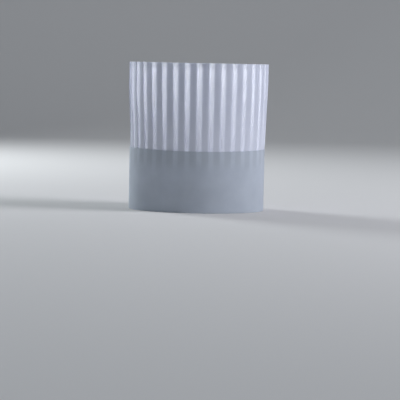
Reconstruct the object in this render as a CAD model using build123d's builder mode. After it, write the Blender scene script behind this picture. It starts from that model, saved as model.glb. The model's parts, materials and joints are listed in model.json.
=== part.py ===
"""A paper chef's toque: a knife-pleated crown standing in a smooth, folded head band.

Millimetres. +Z is up and the brow of the hat faces -Y. The origin is the middle of the band's lower
edge, on the surface that the hat stands on. Every wall follows one oval of four tangent arcs, and is
placed by its offset from the band's outer face: below 0 is inside that face, above 0 is outside it.
"""

from build123d import *

import os
from math import atan2, cos, degrees, radians, sin

# Driving dimensions
HAT_HEIGHT = 230.0
BAND_HEIGHT = 97.0
BAND_LENGTH = 212.0  # brow to nape, over the band
BAND_WIDTH = 197.0
BACK_RADIUS = 94.0  # the oval's brow and nape arcs
EDGE_DIP = 2.4  # how much lower the band's upper edge is over the ears
PLEAT_COUNT = 35
CROWN_FLARE = 3.5  # how far the pleats' outer folds stand outside the band's face at the rim
CROWN_TUCK = 22.0  # depth of crown held inside the band

# Sheets, glue and gaps
BAND_SHEET = 0.5
CROWN_SHEET = 0.3
LINING_SHEET = 0.35
TOP_SHEET = 0.3
GLUE = 0.15
CLEAR = 0.05  # between neighbours that don't touch
CHORD_SAG = 0.2  # how far a pleat's straight facet cuts inside the oval
LAYER_STEP = 0.5  # middle to middle of two pleat layers pressed together

# The oval that the band's outer face follows
NAPE_SHIFT = BAND_LENGTH / 2 - BACK_RADIUS
SIDE_RADIUS = (NAPE_SHIFT**2 + (BAND_WIDTH / 2) ** 2 - BACK_RADIUS**2) / (BAND_WIDTH - 2 * BACK_RADIUS)
SIDE_SHIFT = SIDE_RADIUS - BAND_WIDTH / 2
NAPE_ANGLE = degrees(atan2(SIDE_SHIFT, NAPE_SHIFT))  # half of each end arc
NAPE_CENTRE = (0, NAPE_SHIFT)
BROW_CENTRE = (0, -NAPE_SHIFT)

# Centre, radius, first and last angle of each arc, anticlockwise from the middle of the nape
ARCS = [
    (NAPE_CENTRE, BACK_RADIUS, 90, 90 + NAPE_ANGLE),
    ((SIDE_SHIFT, 0), SIDE_RADIUS, 90 + NAPE_ANGLE, 270 - NAPE_ANGLE),
    (BROW_CENTRE, BACK_RADIUS, 270 - NAPE_ANGLE, 270 + NAPE_ANGLE),
    ((-SIDE_SHIFT, 0), SIDE_RADIUS, 270 + NAPE_ANGLE, 450 - NAPE_ANGLE),
    (NAPE_CENTRE, BACK_RADIUS, 450 - NAPE_ANGLE, 450),
]
PERIMETER = sum(radius * radians(last - first) for _, radius, first, last in ARCS)


def oval_point(distance, offset):
    """The point at this distance round the oval from the middle of the nape, moved out by offset."""
    distance %= PERIMETER
    for (x, y), radius, first, last in ARCS:
        length = radius * radians(last - first)
        if distance <= length:
            break
        distance -= length
    angle = radians(first) + distance / radius
    return Vector(x + (radius + offset) * cos(angle), y + (radius + offset) * sin(angle))


def wall(inner, outer, bottom, top):
    """The (offset, height) profile of an upright wall."""
    return [(inner, bottom), (outer, bottom), (outer, top), (inner, top)]


def carry_round(profile, arcs=ARCS):
    """Adds to the open part a closed (offset, height) profile carried round these arcs."""
    for (x, y), radius, first, last in arcs:
        out = Vector(cos(radians(first)), sin(radians(first)), 0)
        with BuildSketch(Plane((x, y, 0), x_dir=out, z_dir=out.cross(Vector(0, 0, 1)))) as section:
            with BuildLine():
                Polyline(*[(radius + offset, height) for offset, height in profile], close=True)
            make_face()
        revolve(section.sketch, axis=Axis((x, y, 0), (0, 0, 1)), revolution_arc=last - first)


def dip_upper_edge():
    """Cuts the open part's upper edge to the band's shallow dip from brow and nape to the ears."""
    beyond = 1.1  # the cutting arc runs this much further than the band
    reach = beyond * BAND_LENGTH / 2
    end = BAND_HEIGHT + EDGE_DIP * (beyond**2 - 1)
    with BuildSketch(Plane.YZ) as above:
        with BuildLine():
            ThreePointArc((-reach, end), (0, BAND_HEIGHT - EDGE_DIP), (reach, end))
            Polyline((reach, end), (reach, HAT_HEIGHT), (-reach, HAT_HEIGHT), (-reach, end))
        make_face()
    extrude(above.sketch, amount=BAND_WIDTH, both=True, mode=Mode.SUBTRACT)


# Outer band: one sheet, folded under at the lower edge and turned up inside
UNCUT_HEIGHT = BAND_HEIGHT + 1  # before the upper edge is cut to its dip
TURN_UP_HEIGHT = 32.0
LINED_FACE = -BAND_SHEET - GLUE  # what is glued to the band's inner face starts here
TURN_UP_FACE = LINED_FACE - BAND_SHEET
with BuildPart() as outer_band:
    carry_round([
        (TURN_UP_FACE, 0),
        (0, 0),
        (0, UNCUT_HEIGHT),
        (-BAND_SHEET, UNCUT_HEIGHT),
        (-BAND_SHEET, BAND_SHEET),
        (LINED_FACE, BAND_SHEET),
        (LINED_FACE, TURN_UP_HEIGHT),
        (TURN_UP_FACE, TURN_UP_HEIGHT),
    ])
    dip_upper_edge()

with BuildPart() as turn_up_glue:
    carry_round(wall(LINED_FACE, -BAND_SHEET, TURN_UP_HEIGHT - 8, TURN_UP_HEIGHT - 2))

# Pleated crown: one sheet, every pleat laid the same way, flat in the band and sprung open at the rim
PITCH = PERIMETER / PLEAT_COUNT
PLEAT_PHASE = 0.65 * PITCH  # of the first free fold, from the middle of the nape
SHEET_PER_PLEAT = 40.0  # width of flat sheet that each pleat takes
TUCK_OFFSET = LINED_FACE - CLEAR  # outer folds inside the band
TUCK_DEPTH = 2 * LAYER_STEP
RIM_DEPTH = 3.2
RISE = 0.1  # how far the single layer climbs under a free fold, as a share of the pleat's opening
CROWN_BOTTOM = BAND_HEIGHT - CROWN_TUCK
CROWN_EDGE = BAND_HEIGHT - EDGE_DIP  # where the pleats come out of the band


def crown_section(outer_offset, depth):
    """The middle line of the pleated sheet on one level, with 6 corners to a pleat."""
    base = outer_offset - CROWN_SHEET / 2 - depth
    widened_pitch = PITCH * (1 + outer_offset * radians(360) / PERIMETER)
    lap = (SHEET_PER_PLEAT - widened_pitch) / 2  # each free fold's overlap of the next strip
    corners = []
    for pleat in range(PLEAT_COUNT):
        start = PLEAT_PHASE + pleat * PITCH
        free = start + PITCH
        corners += [
            oval_point(start - lap, base),
            oval_point(start, base + RISE * (depth - TUCK_DEPTH)),
            oval_point(free - lap, base + 2 * LAYER_STEP),
            oval_point(free, base + depth),
            oval_point(free, base + depth - LAYER_STEP),
            oval_point(free - lap, base + LAYER_STEP),
        ]
    return corners


def moved_sideways(corners, distance):
    """The closed line through corners, moved out by distance, with mitred corners."""
    moved = []
    for before, here, after in zip(corners[-1:] + corners[:-1], corners, corners[1:] + corners[:1]):
        side_in = (here - before).normalized().rotate(Axis.Z, -90)
        side_out = (after - here).normalized().rotate(Axis.Z, -90)
        mitre = (side_in + side_out).normalized()
        moved.append(here + mitre * (distance / mitre.dot(side_in)))
    return moved


def crown_face(height):
    """The offset that just clears the pleats' inner side, at or above the band's edge."""
    opened = (height - CROWN_EDGE) / (HAT_HEIGHT - CROWN_EDGE)
    tucked_face = TUCK_OFFSET - TUCK_DEPTH - CROWN_SHEET
    rim_face = CROWN_FLARE - RIM_DEPTH - CROWN_SHEET
    return tucked_face + opened * (rim_face - tucked_face) - CHORD_SAG


with BuildPart() as pleated_crown:
    for height, outer_offset, depth in [
        (CROWN_BOTTOM, TUCK_OFFSET, TUCK_DEPTH),
        (CROWN_EDGE, TUCK_OFFSET, TUCK_DEPTH),
        (HAT_HEIGHT, CROWN_FLARE, RIM_DEPTH),
    ]:
        middle = crown_section(outer_offset, depth)
        with BuildSketch(Plane.XY.offset(height)):
            with BuildLine():
                Polyline(*moved_sideways(middle, CROWN_SHEET / 2), close=True)
            make_face()
            with BuildLine():
                Polyline(*moved_sideways(middle, -CROWN_SHEET / 2), close=True)
            make_face(mode=Mode.SUBTRACT)
    loft(ruled=True)

with BuildPart() as crown_glue_line:
    carry_round(wall(LINED_FACE, -BAND_SHEET, CROWN_BOTTOM + 6, CROWN_BOTTOM + 13))

# Seam strip: covers the join of the pleated sheet's two ends, inside the nape
SEAM_STRIP_ANGLE = 5.5  # half of its width
SEAM_STRIP_BOTTOM = BAND_HEIGHT
SEAM_STRIP_TOP = 205.0
with BuildPart() as crown_seam_strip:
    low = crown_face(SEAM_STRIP_BOTTOM)
    high = crown_face(SEAM_STRIP_TOP)
    carry_round(
        [
            (low - CROWN_SHEET, SEAM_STRIP_BOTTOM),
            (low, SEAM_STRIP_BOTTOM),
            (high, SEAM_STRIP_TOP),
            (high - CROWN_SHEET, SEAM_STRIP_TOP),
        ],
        [(NAPE_CENTRE, BACK_RADIUS, 90 - SEAM_STRIP_ANGLE, 90 + SEAM_STRIP_ANGLE)],
    )

# Inner band: the lining strip, glued to the band below the pleats and stepped in over them
LINING_BOTTOM = TURN_UP_HEIGHT + 1
LINING_STEP = CROWN_BOTTOM - 6
LINING_TOP = BAND_HEIGHT - 5
CLAMP_FACE = crown_face(CROWN_EDGE)
with BuildPart() as inner_band:
    carry_round([
        (LINED_FACE - LINING_SHEET, LINING_BOTTOM),
        (LINED_FACE, LINING_BOTTOM),
        (LINED_FACE, LINING_STEP),
        (CLAMP_FACE, CROWN_BOTTOM - 1),
        (CLAMP_FACE, LINING_TOP),
        (CLAMP_FACE - LINING_SHEET, LINING_TOP),
        (CLAMP_FACE - LINING_SHEET, CROWN_BOTTOM - 1),
        (LINED_FACE - LINING_SHEET, LINING_STEP),
    ])

with BuildPart() as inner_band_glue:
    carry_round(wall(LINED_FACE, -BAND_SHEET, LINING_BOTTOM + 4, LINING_BOTTOM + 12))

# Sweat pad: a soft strip on the turned-up hem, round the brow
PAD_THICKNESS = 2.0
PAD_BOTTOM = 3.0
PAD_HEIGHT = 28.0
PAD_ANGLE = 46.0  # half of its length
ADHESIVE_MARGIN = 4.0
PAD_BACK = TURN_UP_FACE - GLUE
PAD_TOP = PAD_BOTTOM + PAD_HEIGHT
with BuildPart() as sweat_pad:
    carry_round(
        wall(PAD_BACK - PAD_THICKNESS, PAD_BACK, PAD_BOTTOM, PAD_TOP),
        [(BROW_CENTRE, BACK_RADIUS, 270 - PAD_ANGLE, 270 + PAD_ANGLE)],
    )

with BuildPart() as sweat_pad_adhesive:
    carry_round(
        wall(PAD_BACK, TURN_UP_FACE, PAD_BOTTOM + ADHESIVE_MARGIN, PAD_TOP - ADHESIVE_MARGIN),
        [(BROW_CENTRE, BACK_RADIUS, 272 - PAD_ANGLE, 268 + PAD_ANGLE)],
    )

# Crown top: a disc just below the rim, with a skirt turned down inside the pleats
TOP_HEIGHT = HAT_HEIGHT - 1
SKIRT_BOTTOM = TOP_HEIGHT - 6
with BuildPart() as crown_top:
    low = crown_face(SKIRT_BOTTOM) - GLUE
    high = crown_face(TOP_HEIGHT) - GLUE
    carry_round([
        (low - TOP_SHEET, SKIRT_BOTTOM),
        (low, SKIRT_BOTTOM),
        (high, TOP_HEIGHT),
        (high - TOP_SHEET, TOP_HEIGHT),
    ])
    with BuildSketch(Plane.XY.offset(TOP_HEIGHT)):
        with BuildLine():
            for centre, radius, first, last in ARCS:
                CenterArc(centre, radius + high, first, last - first)
        make_face()
    extrude(amount=-TOP_SHEET)

with BuildPart() as crown_top_glue:
    glue_bottom, glue_top = SKIRT_BOTTOM + 1.5, SKIRT_BOTTOM + 4.5
    low, high = crown_face(glue_bottom), crown_face(glue_top)
    carry_round([(low - GLUE, glue_bottom), (low, glue_bottom), (high, glue_top), (high - GLUE, glue_top)])

# Closing flap: the band's free end, lapped over the back and peeled open about its root
FLAP_ROOT_ANGLE = 86.0
FLAP_TIP_ANGLE = 50.0
FLAP_GAP = 0.5
FLAP_LIFT_OFF = 0.8  # between the flap's lower edge and the surface under the hat
TAPE_ANGLE = FLAP_TIP_ANGLE + 2
TAPE_WIDTH_ANGLE = 8.0
TAPE_MARGIN = 4.0  # above the turned-up hem and below the upper edge
with BuildPart() as closing_flap:
    carry_round(
        wall(FLAP_GAP, FLAP_GAP + BAND_SHEET, FLAP_LIFT_OFF, UNCUT_HEIGHT),
        [(NAPE_CENTRE, BACK_RADIUS, FLAP_TIP_ANGLE, FLAP_ROOT_ANGLE)],
    )
    dip_upper_edge()

with BuildPart() as closing_tape:
    carry_round(
        wall(FLAP_GAP - GLUE, FLAP_GAP, TURN_UP_HEIGHT + TAPE_MARGIN, CROWN_EDGE - TAPE_MARGIN),
        [(NAPE_CENTRE, BACK_RADIUS, TAPE_ANGLE, TAPE_ANGLE + TAPE_WIDTH_ANGLE)],
    )

outer_band.part.label = "outer_band"
turn_up_glue.part.label = "turn_up_glue"
pleated_crown.part.label = "pleated_crown"
crown_glue_line.part.label = "crown_glue_line"
crown_seam_strip.part.label = "crown_seam_strip"
inner_band.part.label = "inner_band"
inner_band_glue.part.label = "inner_band_glue"
sweat_pad.part.label = "sweat_pad"
sweat_pad_adhesive.part.label = "sweat_pad_adhesive"
crown_top.part.label = "crown_top"
crown_top_glue.part.label = "crown_top_glue"
closing_flap.part.label = "closing_flap"
closing_tape.part.label = "closing_tape"

os.makedirs("parts", exist_ok=True)
for piece in (
    outer_band,
    turn_up_glue,
    pleated_crown,
    crown_glue_line,
    crown_seam_strip,
    inner_band,
    inner_band_glue,
    sweat_pad,
    sweat_pad_adhesive,
    crown_top,
    crown_top_glue,
    closing_flap,
    closing_tape,
):
    export_step(piece.part, f"parts/{piece.part.label}.step")
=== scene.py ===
"""A paper chef's toque: a knife-pleated crown of thin paper in a smooth, folded head band.

Metres. +Z is up, the brow faces -Y and the hat stands on z = 0. Every sheet follows the same oval
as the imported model. A place on the hat is (distance, offset, height): the distance round the
band's outer face, anticlockwise from the middle of the nape, the offset out from that face, and
the height.
"""

import json
from math import acos, atan2, cos, pi, radians, sin, tau

import bpy
import numpy as np
from mathutils import Matrix, Vector


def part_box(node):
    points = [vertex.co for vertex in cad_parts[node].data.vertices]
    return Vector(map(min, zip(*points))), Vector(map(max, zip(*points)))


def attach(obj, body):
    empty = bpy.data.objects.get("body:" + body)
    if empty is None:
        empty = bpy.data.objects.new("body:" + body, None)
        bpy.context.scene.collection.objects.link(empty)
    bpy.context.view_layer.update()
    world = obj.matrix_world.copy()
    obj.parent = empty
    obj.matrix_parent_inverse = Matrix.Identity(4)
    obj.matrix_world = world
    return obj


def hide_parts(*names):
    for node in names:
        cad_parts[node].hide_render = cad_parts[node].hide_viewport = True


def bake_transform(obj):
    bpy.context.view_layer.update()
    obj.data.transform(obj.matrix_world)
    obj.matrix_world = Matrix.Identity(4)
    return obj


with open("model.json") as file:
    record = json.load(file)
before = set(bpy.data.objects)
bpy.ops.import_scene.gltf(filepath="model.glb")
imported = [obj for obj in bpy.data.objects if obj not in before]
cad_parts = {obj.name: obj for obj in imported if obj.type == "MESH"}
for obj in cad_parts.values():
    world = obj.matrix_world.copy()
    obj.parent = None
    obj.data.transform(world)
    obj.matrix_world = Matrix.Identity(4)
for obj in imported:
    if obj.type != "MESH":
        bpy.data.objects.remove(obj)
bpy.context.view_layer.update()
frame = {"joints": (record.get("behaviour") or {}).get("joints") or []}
MM = 0.001

# Sizes read from the frame
BAND_LOW, BAND_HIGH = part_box("outer_band")
CROWN_LOW, CROWN_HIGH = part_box("pleated_crown")
LINING_LOW, LINING_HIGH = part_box("inner_band")
PAD_LOW, PAD_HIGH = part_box("sweat_pad")
TOP_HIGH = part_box("crown_top")[1]
TAPE_LOW, TAPE_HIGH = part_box("closing_tape")
STRIP_LOW, STRIP_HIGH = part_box("crown_seam_strip")
FLAP_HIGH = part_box("closing_flap")[1]
FLAP_JOINT = frame["joints"][0]
BAND_LENGTH = 2 * BAND_HIGH.y
BAND_WIDTH = BAND_HIGH.x - BAND_LOW.x
BAND_HEIGHT = BAND_HIGH.z
HAT_HEIGHT = CROWN_HIGH.z
CROWN_BOTTOM = CROWN_LOW.z

# Sizes of the real sheets
EDGE_DIP = 2.4 * MM  # how much lower the band's upper edge is over the ears
BAND_EDGE = BAND_HEIGHT - EDGE_DIP
CROWN_SHOWN = HAT_HEIGHT - BAND_HEIGHT + EDGE_DIP
TURN_UP_HEIGHT = 32 * MM
BAND_SHEET = 0.40 * MM
CROWN_SHEET = 0.22 * MM
TOP_SHEET = 0.22 * MM
LINING_SHEET = 0.30 * MM
TAPE_SHEET = 0.14 * MM
GLUE_FILM = 0.12 * MM
PLEAT_COUNT = 35
SHEET_PER_PLEAT = 40 * MM

# Offsets of the layers' middles from the band's outer face
TAPE_OFFSET = 0.36 * MM
BAND_OFFSET = -BAND_SHEET / 2
GLUE_OFFSET = -0.53 * MM
LINING_GLUE_OFFSET = -0.75 * MM
TUCK_OFFSET = -0.85 * MM
TURN_UP_OFFSET = -0.9 * MM
LINING_OFFSET = -1.15 * MM
PAD_FILM_OFFSET = -1.30 * MM
PAD_BACK_OFFSET = -1.45 * MM

# The oval of the band's outer face: nape, ear, brow and ear arcs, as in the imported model
BACK_RADIUS = 94 * MM
NAPE_SHIFT = BAND_LENGTH / 2 - BACK_RADIUS
SIDE_RADIUS = (NAPE_SHIFT**2 + (BAND_WIDTH / 2) ** 2 - BACK_RADIUS**2) / (
    BAND_WIDTH - 2 * BACK_RADIUS
)
SIDE_SHIFT = SIDE_RADIUS - BAND_WIDTH / 2
NAPE_ANGLE = atan2(SIDE_SHIFT, NAPE_SHIFT)
RADII = np.array([BACK_RADIUS, SIDE_RADIUS, BACK_RADIUS, SIDE_RADIUS, BACK_RADIUS])
CENTRES = np.array([
    (0, NAPE_SHIFT),
    (SIDE_SHIFT, 0),
    (0, -NAPE_SHIFT),
    (-SIDE_SHIFT, 0),
    (0, NAPE_SHIFT),
])
ANGLES = np.array([
    pi / 2,
    pi / 2 + NAPE_ANGLE,
    1.5 * pi - NAPE_ANGLE,
    1.5 * pi + NAPE_ANGLE,
    2.5 * pi - NAPE_ANGLE,
    2.5 * pi,
])
KNOTS = np.concatenate([[0], np.cumsum(RADII * np.diff(ANGLES))])
PERIMETER = KNOTS[-1]
PITCH = PERIMETER / PLEAT_COUNT


def smooth(value, low, high):
    """0 below low, 1 above high, and an even S between them."""
    share = np.clip((value - low) / (high - low), 0, 1)
    return share * share * (3 - 2 * share)


def unevenness(distance, height):
    """How far the hand-shaped hat stands out from the oval here. Every layer shares it.

    Slow and quick waves run round it, and the crown springs out at the brow just above the band.
    """
    turn = tau * distance / PERIMETER
    up = height / HAT_HEIGHT
    slow = 0.30 * np.sin(2 * turn + 0.7 + 1.1 * up) + 0.22 * np.sin(3 * turn + 2.1 - 1.7 * up)
    quick = 0.10 * np.sin(5 * turn + 0.4 + 2.3 * up) + 0.06 * np.sin(8 * turn + 1.9 - 3.0 * up)
    near_brow = (0.5 - 0.5 * np.cos(turn)) ** 2
    sprung = 1.2 * near_brow * smooth(up, 0.415, 0.46) * (1 - smooth(up, 0.5, 0.8))
    return (slow + quick + sprung) * MM


def place(distance, offset, height):
    """Points on the hat, as an array of x, y, z."""
    distance, offset, height = np.broadcast_arrays(distance, offset, height)
    round_it = np.mod(distance, PERIMETER)
    arc = np.clip(np.searchsorted(KNOTS, round_it, side="right") - 1, 0, len(RADII) - 1)
    angle = ANGLES[arc] + (round_it - KNOTS[arc]) / RADII[arc]
    reach = RADII[arc] + offset + unevenness(distance, height)
    x = CENTRES[arc, 0] + reach * np.cos(angle)
    y = CENTRES[arc, 1] + reach * np.sin(angle)
    return np.stack([x, y, height], axis=-1)


def nape_distance(angle):
    """The distance round the band of a point on the nape's arc at this angle, in radians."""
    return (angle - pi / 2) * BACK_RADIUS


def band_top(distance):
    """The height of the band's upper edge, which dips from brow and nape to the ears."""
    along = place(distance, 0.0, 0.0)[..., 1]
    return BAND_HEIGHT - EDGE_DIP * (1 - (2 * along / BAND_LENGTH) ** 2)


# Meshes

SHARP_ANGLE = radians(48)


def add_piece(name, points, faces, slot, material):
    """A piece of the hat from its points and faces."""
    mesh = bpy.data.meshes.new(name)
    mesh.from_pydata(np.asarray(points).tolist(), [], faces)
    mesh.validate()
    mesh.shade_smooth()
    mesh.set_sharp_from_angle(angle=SHARP_ANGLE)
    mesh.materials.append(material)
    piece = bpy.data.objects.new(name, mesh)
    bpy.context.scene.collection.objects.link(piece)
    return piece


def shell_faces(rows, columns, closed):
    """Faces that join an outer and an inner grid of points into one closed sheet.

    The outer points come first. A closed sheet's last column meets its first.
    """
    count = rows * columns
    faces = []
    last = columns if closed else columns - 1
    for row in range(rows - 1):
        for column in range(last):
            a = row * columns + column
            b = row * columns + (column + 1) % columns
            c, d = b + columns, a + columns
            faces.append((a, b, c, d))
            faces.append((count + d, count + c, count + b, count + a))
    for column in range(last):
        a, b = column, (column + 1) % columns
        faces.append((b, a, count + a, count + b))
        a, b = a + count - columns, b + count - columns
        faces.append((a, b, count + b, count + a))
    if not closed:
        for row in range(rows - 1):
            a, d = row * columns, (row + 1) * columns
            faces.append((a, d, count + d, count + a))
            a, d = a + columns - 1, d + columns - 1
            faces.append((d, a, count + a, count + d))
    return faces


def shell(grid, thickness, closed):
    """Points and faces of a sheet whose middle is a grid of rows and columns of points."""
    if closed:
        along = np.roll(grid, -1, axis=1) - np.roll(grid, 1, axis=1)
    else:
        along = np.gradient(grid, axis=1)
    across = np.gradient(grid, axis=0)
    normal = np.cross(along, across)
    normal /= np.linalg.norm(normal, axis=-1, keepdims=True)
    outer = (grid + normal * thickness / 2).reshape(-1, 3)
    inner = (grid - normal * thickness / 2).reshape(-1, 3)
    return np.concatenate([outer, inner]), shell_faces(*grid.shape[:2], closed)


def between(points, steps):
    """The polyline through these (offset, height) points, with this many steps on each run."""
    line = [points[0]]
    for (start, end), count in zip(zip(points, points[1:]), steps):
        for step in range(1, count + 1):
            share = step / count
            line.append(tuple(a + (b - a) * share for a, b in zip(start, end)))
    return np.array(line)


# Pleated crown

random = np.random.default_rng(12)
FOLD_GAP = 0.50 * MM  # middle to middle of the pleat layers where they are pressed together
FOLD_POINTS = 5
PRESSED_DEPTH = 2 * FOLD_GAP
RIM_OFFSET = 3.3 * MM
RIM_DEPTH = 2.5 * MM
PLEAT_PHASE = 0.70  # of the first free fold at the band's edge, in pleats from the nape
PLEAT_LEAN = -0.09  # how far the pleats lean round by the rim, in pleats


def scattered(amount):
    """One small random number for each pleat."""
    return random.uniform(-amount, amount, PLEAT_COUNT)


# How far each pleat differs from the next: its fold's place at the band and at the rim, its lap and
# its depth, and how far its lap bellies out
FOLD_SHIFT_LOW = scattered(0.20 * MM)
FOLD_SHIFT_HIGH = scattered(0.24 * MM)
LAP_CHANGE = scattered(0.22 * MM)
DEPTH_CHANGE = scattered(0.12)
BELLY = 0.22 + scattered(0.12)


def crown_rise(height):
    """0 at the band's edge and 1 at the rim: how far the crown has sprung open."""
    return (height - BAND_EDGE) / CROWN_SHOWN


def crown_opening(height):
    """0 where the pleats are pressed together and 1 where they are as deep as at the rim."""
    return smooth(crown_rise(height), 0.0, 0.75)


def crown_offset(height):
    """The offset of the pleats' outer folds: upright at the band and the rim, flared between."""
    rise = crown_rise(height)
    flare = 0.15 * np.clip(rise, 0, 1) + 0.85 * smooth(rise, 0.05, 0.78)
    return TUCK_OFFSET + (RIM_OFFSET - TUCK_OFFSET) * flare


def free_folds(height):
    """The distance of each pleat's free fold at this height, and its lap over the next strip."""
    rise = float(np.clip(crown_rise(height), 0, 1))
    index = np.arange(PLEAT_COUNT) + 1 + PLEAT_PHASE
    leaning = (index + PLEAT_LEAN * rise) * PITCH
    folds = leaning + FOLD_SHIFT_LOW * (1 - rise) + FOLD_SHIFT_HIGH * rise
    widened = PITCH * (1 + crown_offset(height) * tau / PERIMETER)
    laps = (SHEET_PER_PLEAT - widened) / 2 + LAP_CHANGE * (0.6 + 0.4 * rise)
    return folds, laps


def fold(distance, offset, first, last):
    """Points round a fold whose middle is here, in (distance, offset), between these angles."""
    radius = FOLD_GAP / 2
    turns = np.linspace(first, last, FOLD_POINTS)
    return [(distance + radius * cos(turn), offset + radius * sin(turn)) for turn in turns]


def crown_line(height):
    """The pleated sheet's middle at this height, as (distance, offset) points.

    Each pleat turns at its hidden fold, runs along its single strip, climbs as the lap's outer
    layer, turns at its free fold and comes back under the lap.
    """
    folds, laps = free_folds(height)
    opened = crown_opening(height)
    pressed_low = crown_offset(height) - CROWN_SHEET / 2 - PRESSED_DEPTH
    low = pressed_low - (RIM_DEPTH - PRESSED_DEPTH) * opened
    line = []
    for pleat in range(PLEAT_COUNT):
        start = folds[pleat - 1] - (PERIMETER if pleat == 0 else 0)
        lap_in, free, lap = laps[pleat - 1], folds[pleat], laps[pleat]
        spring = (RIM_DEPTH * (1 + DEPTH_CHANGE[pleat]) - PRESSED_DEPTH) * opened
        depth = PRESSED_DEPTH + spring
        climb = low + PRESSED_DEPTH + 0.12 * (depth - PRESSED_DEPTH)
        line += fold(start - lap_in + FOLD_GAP / 2, low + FOLD_GAP / 2, pi / 2, 1.5 * pi)
        line.append((start - lap_in * 0.5, low + 0.03 * depth * opened))
        line.append((start, low + 0.08 * depth * opened))
        for share in (0.33, 0.66, 1.0):
            distance = start + (free - lap - start) * share
            line.append((distance, low + (climb - low) * (0.1 + 0.9 * share)))
        for share in (0.25, 0.5, 0.75):
            bulge = BELLY[pleat] * (depth - PRESSED_DEPTH) * share * (1 - share)
            line.append((free - lap * (1 - share), climb + (low + depth - climb) * share + bulge))
        line += fold(free - FOLD_GAP / 2, low + depth - FOLD_GAP / 2, pi / 2, -pi / 2)
        for share in (0.3, 0.6, 0.85):
            under = low + depth - FOLD_GAP - (depth - PRESSED_DEPTH) * share
            line.append((free - lap * share, under))
    return np.array(line)


def make_crown(material):
    """The knife-pleated sheet, tucked flat in the band and sprung open at the rim."""
    tucked = np.linspace(CROWN_BOTTOM, BAND_EDGE, 5)[:-1]
    shown = BAND_EDGE + CROWN_SHOWN * np.linspace(0, 1, 24)
    grid = []
    for height in np.concatenate([tucked, shown]):
        distances, offsets = crown_line(height).T
        near_rim = smooth(height, 0.2, HAT_HEIGHT)
        wobble = 0.25 * MM * np.sin(tau * distances / PITCH + 1.3) * near_rim
        grid.append(place(distances, offsets, height - np.abs(wobble)))
    return add_piece("crown", *shell(np.array(grid), CROWN_SHEET, True), "crown_paper", material)


# Band and closing flap

SWELL_HEIGHT = 0.16 * MM
SWELL_FADE = 13 * MM
SWELL_PHASE = 0.54  # of the swell's crest, in pleats from where a lap begins
FLAP_ROOT = nape_distance(atan2(FLAP_JOINT["pos_m"][1] - NAPE_SHIFT, FLAP_JOINT["pos_m"][0]))
FLAP_TIP = nape_distance(acos(FLAP_HIGH.x / (BACK_RADIUS + 1.0 * MM)))
FLAP_RAMP = 5 * MM  # along which the flap steps up over the band's first end
FLAP_STEP = 0.85 * MM  # how far its sheet steps out
FLAP_TURN_UP_STEP = 1.15 * MM  # how far its turn-up steps out
FLAP_CLEARANCE = 0.3 * MM  # under its fold
UNDER_LAP = 0.8 * MM  # from the flap's root to the band's first end, hidden under it
MIDDLING = 0.45  # the painted light behind the paper where no pleats show
LAYER_BLUR = 1.2 * MM  # on each side of a layer's edge, in the painted light on the band
SHOW_LOW = CROWN_BOTTOM - 14 * MM  # the painted pleat light shows on the band from here,
SHOW_HIGH = CROWN_BOTTOM + 9 * MM  # and fully from here


def embossing(distance, height):
    """The faint swell of the band over the pleats' free folds inside it, fading from its edge."""
    folds, laps = free_folds(BAND_HEIGHT)
    along = (np.asarray(distance) - folds[0] + laps[0]) / PITCH
    swell = 0.5 + 0.5 * np.cos(tau * (np.mod(along, 1) - SWELL_PHASE))
    below = np.maximum(band_top(distance) - height, 0)
    return SWELL_HEIGHT * swell * np.exp(-below / SWELL_FADE)


def folded_strip(distances, sheet_offset, turn_up_offset, bottom, pressed):
    """A strip with its lower edge folded under and turned up inside, as a grid of its middle.

    Pressed is how far it lies on the pleats and takes their swell, from 0 to 1.
    """
    bend = (sheet_offset - turn_up_offset) / 2
    centre = bottom + BAND_SHEET / 2 + bend
    grid = []
    for share in np.linspace(1, 0, 30):
        height = centre + (band_top(distances) - centre) * share
        lift = pressed * embossing(distances, height)
        grid.append(place(distances, sheet_offset + lift, height))
    for turn in np.linspace(0, pi, 8)[1:-1]:
        offset = sheet_offset - bend + bend * cos(turn)
        grid.append(place(distances, offset, centre - bend * sin(turn)))
    for share in np.linspace(0, 1, 9):
        edge = TURN_UP_HEIGHT + 0.3 * MM * np.sin(distances / (23 * MM))
        grid.append(place(distances, turn_up_offset, centre + (edge - centre) * share))
    return np.array(grid)


def paint_pleat_light(piece, distances, shown):
    """Stores at each point of a band piece how much light the pleats behind it let through, for
    painting that light into the band's colour.

    1 is behind a single layer, 0 behind a lap, and MIDDLING where they don't show.
    """
    heights = np.array([point.co.z for point in piece.data.vertices])
    around = np.tile(distances, len(heights) // len(distances))
    folds, laps = free_folds(BAND_HEIGHT)
    before = np.roll(folds, 1) - np.where(np.arange(PLEAT_COUNT) == 0, PERIMETER, 0)
    middles, halves = (before + folds - laps) / 2, (folds - laps - before) / 2
    from_middle = np.mod(around[:, None] - middles + PERIMETER / 2, PERIMETER) - PERIMETER / 2
    past_layer = (np.abs(from_middle) - halves).min(axis=1)
    single = 1 - smooth(past_layer, -LAYER_BLUR, LAYER_BLUR)
    strength = shown * smooth(heights, SHOW_LOW, SHOW_HIGH)
    values = MIDDLING + strength * (single - MIDDLING)
    stored = piece.data.attributes.new("painted_light_behind", "FLOAT", "POINT")
    stored.data.foreach_set("value", values.astype(np.float32))


def make_band(material):
    """The head band, from the closing flap's root all the way round to its first end."""
    distances = np.linspace(FLAP_ROOT, PERIMETER + FLAP_ROOT - UNDER_LAP, 561)
    grid = folded_strip(distances, BAND_OFFSET, TURN_UP_OFFSET, 0.0, 1.0)
    band = add_piece("band", *shell(grid[:, ::-1], BAND_SHEET, False), "band_paper", material)
    # The light that the pleats inside let through is painted into the band's colour
    paint_pleat_light(band, distances[::-1], 1)
    return band


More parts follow.
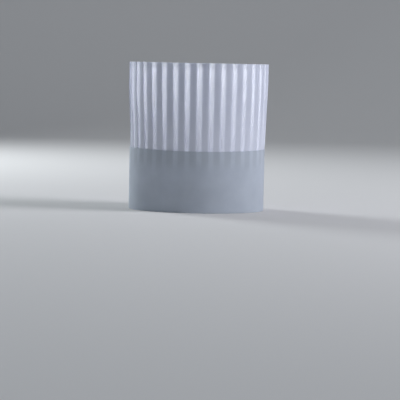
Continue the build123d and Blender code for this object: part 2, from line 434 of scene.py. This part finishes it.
def make_flap(material):
    """The band's free end: it steps up over the first end and lies round the nape."""
    distances = np.linspace(FLAP_TIP, FLAP_ROOT, 61)
    step = 1 - smooth(distances, FLAP_ROOT - FLAP_RAMP, FLAP_ROOT)
    sheet_offset = BAND_OFFSET + FLAP_STEP * step
    turn_up_offset = TURN_UP_OFFSET + FLAP_TURN_UP_STEP * step
    grid = folded_strip(distances, sheet_offset, turn_up_offset, FLAP_CLEARANCE * step, 1 - step)
    flap = add_piece("flap", *shell(grid[:, ::-1], BAND_SHEET, False), "band_paper", material)
    # The flap gets only the even middling painted light, with no pleats in it
    paint_pleat_light(flap, distances[::-1], 0)
    return flap


# Lining, seam strip, glue and tape

ROUND = np.linspace(0, PERIMETER, 361)[:-1]
GLUE_WOBBLE = 0.5 * MM
LINING_GAP = 0.35 * MM  # from the pleats' inner folds
STRIP_GAP = 0.25 * MM


def wall(name, profile, steps, distances, thickness, closed, slot, material, wobble=0.0):
    """A strip carried round the hat, from the (offset, height) profile of its middle.

    Steps is the number of rows on each run of the profile. Wobble makes its two edges uneven.
    """
    line = between(profile, steps)
    grid = []
    for row, (offset, height) in enumerate(line):
        edge = row in (0, len(line) - 1)
        shift = wobble * np.sin(distances / (5.3 * MM) + row) if edge and wobble else 0.0
        grid.append(place(distances, offset, height + shift))
    return add_piece(name, *shell(np.array(grid)[:, ::-1], thickness, closed), slot, material)


def crown_inside(height):
    """The offset just inside the pleats at this height."""
    depth = PRESSED_DEPTH + (RIM_DEPTH - PRESSED_DEPTH) * crown_opening(height)
    return float(crown_offset(height) - depth - CROWN_SHEET)


def make_lining(material):
    """The strip that clamps the pleats from inside and lies on the band below them."""
    upper = crown_inside(BAND_EDGE) - LINING_GAP
    profile = [
        (upper, LINING_HIGH.z),
        (upper, CROWN_BOTTOM - MM),
        (LINING_OFFSET, CROWN_BOTTOM - 6 * MM),
        (LINING_OFFSET, LINING_LOW.z),
    ]
    return wall("lining", profile, [8, 4, 8], ROUND, LINING_SHEET, True, "crown_paper", material)


def make_glue_lines(material):
    """The hidden lines of glue, as thin uneven ribbons."""
    profiles = {}
    for node, offset, (low, high) in (
        ("turn_up_glue", GLUE_OFFSET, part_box("turn_up_glue")),
        ("crown_glue_line", GLUE_OFFSET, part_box("crown_glue_line")),
        ("inner_band_glue", LINING_GLUE_OFFSET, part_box("inner_band_glue")),
    ):
        profiles[node] = [(offset, high.z - GLUE_WOBBLE), (offset, low.z + GLUE_WOBBLE)]
    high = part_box("crown_top_glue")[1]
    profiles["crown_top_glue"] = [
        (crown_inside(z) - GLUE_FILM, z) for z in (high.z, high.z - 3 * MM)
    ]
    made = []
    for node, profile in profiles.items():
        name = node + "_bead"
        bead = wall(name, profile, [4], ROUND, GLUE_FILM, True, "glue", material, GLUE_WOBBLE)
        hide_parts(node)
        made.append(bead)
    return made


def make_seam_strip(material):
    """The strip inside the nape that joins the two ends of the pleated sheet."""
    half = STRIP_HIGH.x
    distances = np.linspace(-half, half, 25)
    heights = np.linspace(STRIP_HIGH.z, STRIP_LOW.z, 16)
    profile = [(crown_inside(z) - STRIP_GAP, z) for z in heights]
    steps = [1] * (len(heights) - 1)
    return wall(
        "seam_strip", profile, steps, distances, CROWN_SHEET, False, "crown_paper", material
    )


def make_tape(material):
    """The double-sided strip under the closing flap."""
    root = nape_distance(atan2(TAPE_HIGH.y - NAPE_SHIFT, TAPE_LOW.x))
    tip = nape_distance(atan2(TAPE_LOW.y - NAPE_SHIFT, TAPE_HIGH.x))
    distances = np.linspace(tip, root, 17)
    profile = [(TAPE_OFFSET, TAPE_HIGH.z), (TAPE_OFFSET, TAPE_LOW.z)]
    return wall("tape", profile, [12], distances, TAPE_SHEET, False, "tape", material)


# Sweat pad

QUILT_SPACING = 11 * MM


def brow_distances(high, count):
    """Places along the brow, evenly from end to end of a piece with this upper corner."""
    half = nape_distance(pi / 2 + atan2(high.x, -high.y - NAPE_SHIFT))
    return PERIMETER / 2 + np.linspace(-half, half, count)


def make_pad(material):
    """The absorbent strip at the brow: soft, quilted across and pinched flat along its edges."""
    columns, rows = 181, 33
    distances = brow_distances(PAD_HIGH, columns)
    heights = np.linspace(PAD_HIGH.z, PAD_LOW.z, rows)
    along, up = np.meshgrid(np.linspace(-1, 1, columns), np.linspace(-1, 1, rows))
    edge = np.clip(1 - np.maximum(np.abs(along) ** 40, np.abs(up) ** 8), 0, 1) ** 0.5
    across, down = np.meshgrid(distances, heights)
    channel_one = np.abs(np.sin(pi * (across + down) / QUILT_SPACING))
    channel_two = np.abs(np.sin(pi * (across - down) / QUILT_SPACING))
    quilt = np.minimum(channel_one, channel_two) ** 0.45
    thick = (0.35 + 1.85 * edge * (0.45 + 0.55 * quilt)) * MM
    front = place(across, PAD_BACK_OFFSET - thick, down)
    rear = place(across, PAD_BACK_OFFSET, down)
    points = np.concatenate([front.reshape(-1, 3), rear.reshape(-1, 3)])
    return add_piece("pad", points, shell_faces(rows, columns, False), "pad_foam", material)


def make_pad_adhesive(material):
    """The sticky film behind the pad, narrower than it."""
    low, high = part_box("sweat_pad_adhesive")
    distances = brow_distances(high, 121)
    profile = [(PAD_FILM_OFFSET, high.z), (PAD_FILM_OFFSET, low.z)]
    return wall(
        "pad_adhesive", profile, [4], distances, GLUE_FILM, False, "glue", material, 0.4 * MM
    )


# Crown top

TOP_GAP = 0.35 * MM  # from the pleats' inner folds to the disc's skirt
CLOTH_FRAMES = 40
CLOTH_GROWTH = 0.012  # how much larger than its place the disc is cut


def make_top(material):
    """The nonwoven disc: cut a little large, glued by its turned-down skirt, and sagging."""
    columns, rings = 140, 30
    distances = np.linspace(0, PERIMETER, columns + 1)[:-1]
    drops = (6 * MM, 4 * MM, 1.5 * MM, 0.0)  # of the skirt's rows below the disc, and of its rim
    grid = []
    for drop in drops:
        height = TOP_HIGH.z - drop
        grid.append(place(distances, crown_inside(height) - TOP_GAP, height))
    rim = grid.pop()
    for share in np.linspace(1, 0, rings)[:-1]:
        ring = rim * [share, share, 1]
        ring[:, 2] -= 0.6 * MM * np.sin(pi * share) * (1 + np.sin(7 * tau * distances / PERIMETER))
        grid.append(ring)
    middle = (0, 0, TOP_HIGH.z - 0.5 * MM)
    points = [tuple(point) for ring in grid for point in ring] + [middle]
    faces = []
    for row in range(len(grid) - 1):
        for column in range(columns):
            a, b = row * columns + column, row * columns + (column + 1) % columns
            faces.append((a, b, b + columns, a + columns))
    last = (len(grid) - 1) * columns
    for column in range(columns):
        faces.append((last + column, last + (column + 1) % columns, len(points) - 1))
    top = add_piece("top_disc", points, faces, "nonwoven", material)
    glued = top.vertex_groups.new(name="glued")
    glued.add(list(range(len(drops) * columns)), 1.0, "REPLACE")
    drop_cloth(top, glued.name)
    thicken = top.modifiers.new("thickness", "SOLIDIFY")
    thicken.thickness = TOP_SHEET
    thicken.offset = 0
    apply_modifiers(top)
    return top


def drop_cloth(piece, pinned):
    """Lets a pinned sheet hang under its own weight, and keeps the shape it falls into."""
    cloth = piece.modifiers.new("cloth", "CLOTH")
    settings = cloth.settings
    settings.quality = 8
    settings.mass = 0.05
    settings.tension_stiffness = 30
    settings.compression_stiffness = 30
    settings.shear_stiffness = 12
    settings.bending_stiffness = 0.05
    settings.vertex_group_mass = pinned
    settings.shrink_min = -CLOTH_GROWTH
    cloth.collision_settings.use_collision = False
    scene = bpy.context.scene
    scene.frame_start, scene.frame_end = 1, CLOTH_FRAMES
    cloth.point_cache.frame_start, cloth.point_cache.frame_end = 1, CLOTH_FRAMES
    for number in range(1, CLOTH_FRAMES + 1):
        scene.frame_set(number)
    apply_modifiers(piece)
    scene.frame_set(1)


def apply_modifiers(piece):
    """Keeps the shape that the modifiers give, and removes them."""
    evaluated = piece.evaluated_get(bpy.context.evaluated_depsgraph_get())
    mesh = bpy.data.meshes.new_from_object(evaluated)
    piece.modifiers.clear()
    piece.data = mesh


# Materials


class Nodes:
    """A material being put together."""

    def __init__(self, name):
        self.material = bpy.data.materials.new(name)
        self.material.use_nodes = True
        self.tree = self.material.node_tree
        self.tree.nodes.clear()
        self.output = self.add("ShaderNodeOutputMaterial")
        self.place = self.add("ShaderNodeTexCoord").outputs["Object"]

    def add(self, kind, **values):
        node = self.tree.nodes.new(kind)
        for name, value in values.items():
            setattr(node, name, value)
        return node

    def link(self, source, target):
        self.tree.links.new(source, target)

    def noise(self, scale, detail, stretch=(1, 1, 1)):
        """A noise with this many features to the metre. A stretch under 1 draws it out."""
        mapping = self.add("ShaderNodeMapping")
        mapping.inputs["Scale"].default_value = stretch
        self.link(self.place, mapping.inputs["Vector"])
        node = self.add("ShaderNodeTexNoise")
        node.inputs["Scale"].default_value = scale
        node.inputs["Detail"].default_value = detail
        self.link(mapping.outputs["Vector"], node.inputs["Vector"])
        return node.outputs["Fac"]

    def ramp(self, factor, low, high, start=0.3, end=0.7):
        """A colour that goes from low to high as the factor goes from start to end."""
        node = self.add("ShaderNodeValToRGB")
        node.color_ramp.elements[0].position = start
        node.color_ramp.elements[0].color = (*low, 1)
        node.color_ramp.elements[1].position = end
        node.color_ramp.elements[1].color = (*high, 1)
        self.link(factor, node.inputs["Fac"])
        return node.outputs["Color"]

    def shaded(self, colour, shade):
        """A colour darkened by a shade."""
        node = self.add("ShaderNodeVectorMath", operation="MULTIPLY")
        self.link(colour, node.inputs[0])
        self.link(shade, node.inputs[1])
        return node.outputs["Vector"]

    def height(self):
        """The height above the surface that the hat stands on, in metres."""
        node = self.add("ShaderNodeSeparateXYZ")
        self.link(self.place, node.inputs["Vector"])
        return node.outputs["Z"]

    def bump(self, height, strength, distance, under=None):
        """A normal bent by this height, over another bump where under is given."""
        node = self.add("ShaderNodeBump")
        node.inputs["Strength"].default_value = strength
        node.inputs["Distance"].default_value = distance
        self.link(height, node.inputs["Height"])
        if under is not None:
            self.link(under, node.inputs["Normal"])
        return node.outputs["Normal"]

    def paper(self, colour, normal, roughness, shine, through=None, through_colour=None):
        """Ends in a matte surface that lets this part of the light behind it through."""
        surface = self.add("ShaderNodeBsdfPrincipled")
        surface.inputs["Roughness"].default_value = roughness
        surface.inputs["Specular IOR Level"].default_value = shine
        self.link(colour, surface.inputs["Base Color"])
        self.link(normal, surface.inputs["Normal"])
        if through is None:
            self.link(surface.outputs["BSDF"], self.output.inputs["Surface"])
            return self.material
        behind = self.add("ShaderNodeBsdfTranslucent")
        behind.inputs["Color"].default_value = (*through_colour, 1)
        self.link(normal, behind.inputs["Normal"])
        mix = self.add("ShaderNodeMixShader")
        if isinstance(through, float):
            mix.inputs["Fac"].default_value = through
        else:
            self.link(through, mix.inputs["Fac"])
        self.link(surface.outputs["BSDF"], mix.inputs[1])
        self.link(behind.outputs["BSDF"], mix.inputs[2])
        self.link(mix.outputs["Shader"], self.output.inputs["Surface"])
        return self.material


def crown_paper():
    """Thin crisp paper: pale and cool, with fibres that run up the crown, and denser low down."""
    nodes = Nodes("crown_paper")
    fibres = nodes.noise(900, 6, (1, 1, 0.25))
    cloud = nodes.noise(60, 3)
    colour = nodes.ramp(cloud, (0.84, 0.84, 0.93), (0.90, 0.90, 0.98))
    through = nodes.ramp(nodes.height(), (0.40, 0.40, 0.40), (0.54, 0.54, 0.54), 0.097, 0.165)
    normal = nodes.bump(fibres, strength=0.35, distance=0.15 * MM)
    normal = nodes.bump(cloud, strength=0.3, distance=0.4 * MM, under=normal)
    return nodes.paper(
        colour,
        normal,
        roughness=0.78,
        shine=0.3,
        through=through,
        through_colour=(0.89, 0.90, 0.92),
    )


def band_paper():
    """The band's heavier paper: smooth and faintly cloudy, with painted light in its colour:
    lighter where single layers of pleats lie behind it, darker where their laps do.
    """
    nodes = Nodes("band_paper")
    fibres = nodes.noise(700, 6)
    cloud = nodes.noise(45, 3)
    # Painted light: the colour is lighter over the pleats' single layers behind the band and darker
    # over their laps, standing in for the light from inside the hat
    behind = nodes.add("ShaderNodeAttribute", attribute_name="painted_light_behind").outputs["Fac"]
    colour = nodes.ramp(cloud, (0.612, 0.644, 0.708), (0.676, 0.708, 0.772))
    shade = nodes.ramp(behind, (0.89, 0.89, 0.89), (1.0, 1.0, 1.0), 0.0, 1.0)
    colour = nodes.shaded(colour, shade)
    normal = nodes.bump(fibres, strength=0.25, distance=0.12 * MM)
    normal = nodes.bump(cloud, strength=0.25, distance=0.5 * MM, under=normal)
    return nodes.paper(
        colour,
        normal,
        roughness=0.7,
        shine=0.35,
        through=0.28,
        through_colour=(0.84, 0.86, 0.94),
    )


def nonwoven():
    """Spun fibres pressed in small points."""
    nodes = Nodes("nonwoven")
    web = nodes.noise(500, 8)
    points = nodes.add("ShaderNodeTexVoronoi")
    points.inputs["Scale"].default_value = 700
    nodes.link(nodes.place, points.inputs["Vector"])
    colour = nodes.ramp(web, (0.80, 0.81, 0.85), (0.92, 0.93, 0.96))
    normal = nodes.bump(points.outputs["Distance"], strength=0.6, distance=0.3 * MM)
    normal = nodes.bump(web, strength=0.5, distance=0.3 * MM, under=normal)
    return nodes.paper(
        colour,
        normal,
        roughness=0.9,
        shine=0.1,
        through=0.95,
        through_colour=(0.97, 0.97, 0.97),
    )


def pad_foam():
    """Soft absorbent fleece."""
    nodes = Nodes("pad_foam")
    fuzz = nodes.noise(1500, 8)
    colour = nodes.ramp(fuzz, (0.78, 0.78, 0.78), (0.92, 0.92, 0.91))
    normal = nodes.bump(fuzz, strength=0.8, distance=0.3 * MM)
    return nodes.paper(colour, normal, roughness=0.95, shine=0.1)


def glue():
    """Dried glue, spread so thin that nearly all the light comes through."""
    nodes = Nodes("glue")
    blotch = nodes.noise(300, 4)
    colour = nodes.ramp(blotch, (0.72, 0.70, 0.62), (0.86, 0.85, 0.80))
    normal = nodes.bump(blotch, strength=0.5, distance=0.2 * MM)
    return nodes.paper(
        colour,
        normal,
        roughness=0.35,
        shine=0.3,
        through=0.96,
        through_colour=(0.97, 0.97, 0.95),
    )


def tape():
    """Milky clear double-sided tape with tiny bubbles."""
    nodes = Nodes("tape")
    bubbles = nodes.noise(1200, 2)
    colour = nodes.ramp(bubbles, (0.84, 0.84, 0.77), (0.95, 0.95, 0.89))
    normal = nodes.bump(bubbles, strength=0.25, distance=0.1 * MM)
    return nodes.paper(
        colour,
        normal,
        roughness=0.18,
        shine=0.5,
        through=0.2,
        through_colour=(0.9, 0.9, 0.86),
    )


# The hat

crown_finish, band_finish, glue_finish = crown_paper(), band_paper(), glue()
crown = make_crown(crown_finish)
band = make_band(band_finish)
flap = make_flap(band_finish)
lining = make_lining(crown_finish)
seam_strip = make_seam_strip(crown_finish)
pad = make_pad(pad_foam())
pad_adhesive = make_pad_adhesive(glue_finish)
top = make_top(nonwoven())
closing_tape = make_tape(tape())
beads = make_glue_lines(glue_finish)

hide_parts("pleated_crown")
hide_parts("outer_band")
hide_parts("closing_flap")
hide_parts("inner_band")
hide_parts("crown_seam_strip")
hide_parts("sweat_pad")
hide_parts("sweat_pad_adhesive")
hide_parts("crown_top")
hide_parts("closing_tape")

for piece in (crown, band, lining, seam_strip, pad, pad_adhesive, top, *beads):
    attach(piece, "hat")
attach(closing_tape, "flap")
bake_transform(flap)


# Stage, light and camera

FLOOR_REACH = 9.0
FLOOR_END = 3.0  # where the floor begins to curve up
FLOOR_CURVE = 1.5
BACKDROP_HEIGHT = 8.0
BEAM_INSET = 3.8 * MM  # how far inside the crown's box the lamp's beam ends
CAMERA_DISTANCE = 3.3
CAMERA_HEIGHT = 0.230
CAMERA_SIDE = -0.0059
CAMERA_PITCH = radians(3.74)
CAMERA_ROLL = radians(1.2)
LENS = 188.5
HAT_MIDDLE = (0, 0, 0.12)


def add_stage():
    """A pale floor that curves up into a backdrop far behind the hat."""
    line = [(-FLOOR_REACH, 0.0), (FLOOR_END, 0.0)]
    for turn in np.linspace(0, pi / 2, 9)[1:]:
        along = FLOOR_END + FLOOR_CURVE * sin(turn)
        line.append((along, FLOOR_CURVE - FLOOR_CURVE * cos(turn)))
    line.append((FLOOR_END + FLOOR_CURVE, BACKDROP_HEIGHT))
    points = [(x, y, z) for y in (-FLOOR_REACH, FLOOR_REACH) for x, z in line]
    count = len(line)
    faces = [(i, i + 1, i + 1 + count, i + count) for i in range(count - 1)]
    mesh = bpy.data.meshes.new("floor")
    mesh.from_pydata(points, [], faces)
    mesh.shade_smooth()
    floor = bpy.data.objects.new("floor", mesh)
    bpy.context.scene.collection.objects.link(floor)
    nodes = Nodes("floor")
    surface = nodes.add("ShaderNodeBsdfPrincipled")
    surface.inputs["Base Color"].default_value = (0.68, 0.64, 0.63, 1)
    surface.inputs["Roughness"].default_value = 0.9
    nodes.link(surface.outputs["BSDF"], nodes.output.inputs["Surface"])
    mesh.materials.append(nodes.material)


def add_light(name, where, size, power, colour):
    """A soft square light, turned to face the hat."""
    data = bpy.data.lights.new(name, "AREA")
    data.size = size
    data.energy = power
    data.color = colour
    light = bpy.data.objects.new(name, data)
    bpy.context.scene.collection.objects.link(light)
    light.location = where
    facing = Vector(HAT_MIDDLE) - Vector(where)
    light.rotation_euler = facing.to_track_quat("-Z", "Y").to_euler()


def add_top_light(height, power, colour):
    """A lamp over the hat whose oval beam falls on the disc, inside the crown's rim."""
    reach_x, reach_y = CROWN_HIGH.x - BEAM_INSET, CROWN_HIGH.y - BEAM_INSET
    data = bpy.data.lights.new("top", "SPOT")
    data.spot_size = 2 * atan2(reach_y, height - HAT_HEIGHT)
    data.spot_blend = 0.02
    data.shadow_soft_size = 0.004
    data.energy = power
    data.color = colour
    light = bpy.data.objects.new("top", data)
    bpy.context.scene.collection.objects.link(light)
    light.location = (0, 0, height)
    light.scale = (reach_x / reach_y, 1, 1)


def add_world(colour, strength):
    """An even surround that fills the shadows."""
    world = bpy.data.worlds.new("studio")
    world.use_nodes = True
    background = world.node_tree.nodes["Background"]
    background.inputs["Color"].default_value = (*colour, 1)
    background.inputs["Strength"].default_value = strength
    bpy.context.scene.world = world


def add_camera():
    """A long lens level with the rim, from the wearer's right, with the brow to the right."""
    data = bpy.data.cameras.new("camera")
    data.sensor_width = 36
    data.lens = LENS
    data.clip_end = 50
    camera = bpy.data.objects.new("camera", data)
    bpy.context.scene.collection.objects.link(camera)
    camera.location = (-CAMERA_DISTANCE, CAMERA_SIDE, CAMERA_HEIGHT)
    turned = Matrix.Rotation(radians(-90), 4, "Z")
    tilted = Matrix.Rotation(radians(90) - CAMERA_PITCH, 4, "X")
    rolled = Matrix.Rotation(CAMERA_ROLL, 4, "Z")
    camera.matrix_world = Matrix.Translation(camera.location) @ (turned @ tilted) @ rolled
    bpy.context.scene.camera = camera


add_stage()
add_light("key", (-0.45, -2.55, 1.65), size=1.4, power=61, colour=(0.89, 0.93, 1.0))
add_light("rim", (1.6, 1.6, 0.95), size=0.8, power=40, colour=(0.88, 0.97, 1.0))
add_top_light(height=3.0, power=760, colour=(1.0, 1.0, 1.0))
add_world(colour=(0.74, 0.86, 0.94), strength=0.34)
add_camera()
bpy.context.scene.view_settings.view_transform = "Standard"
# Light reaches the eye through several sheets of paper
bpy.context.scene.cycles.diffuse_bounces = 10
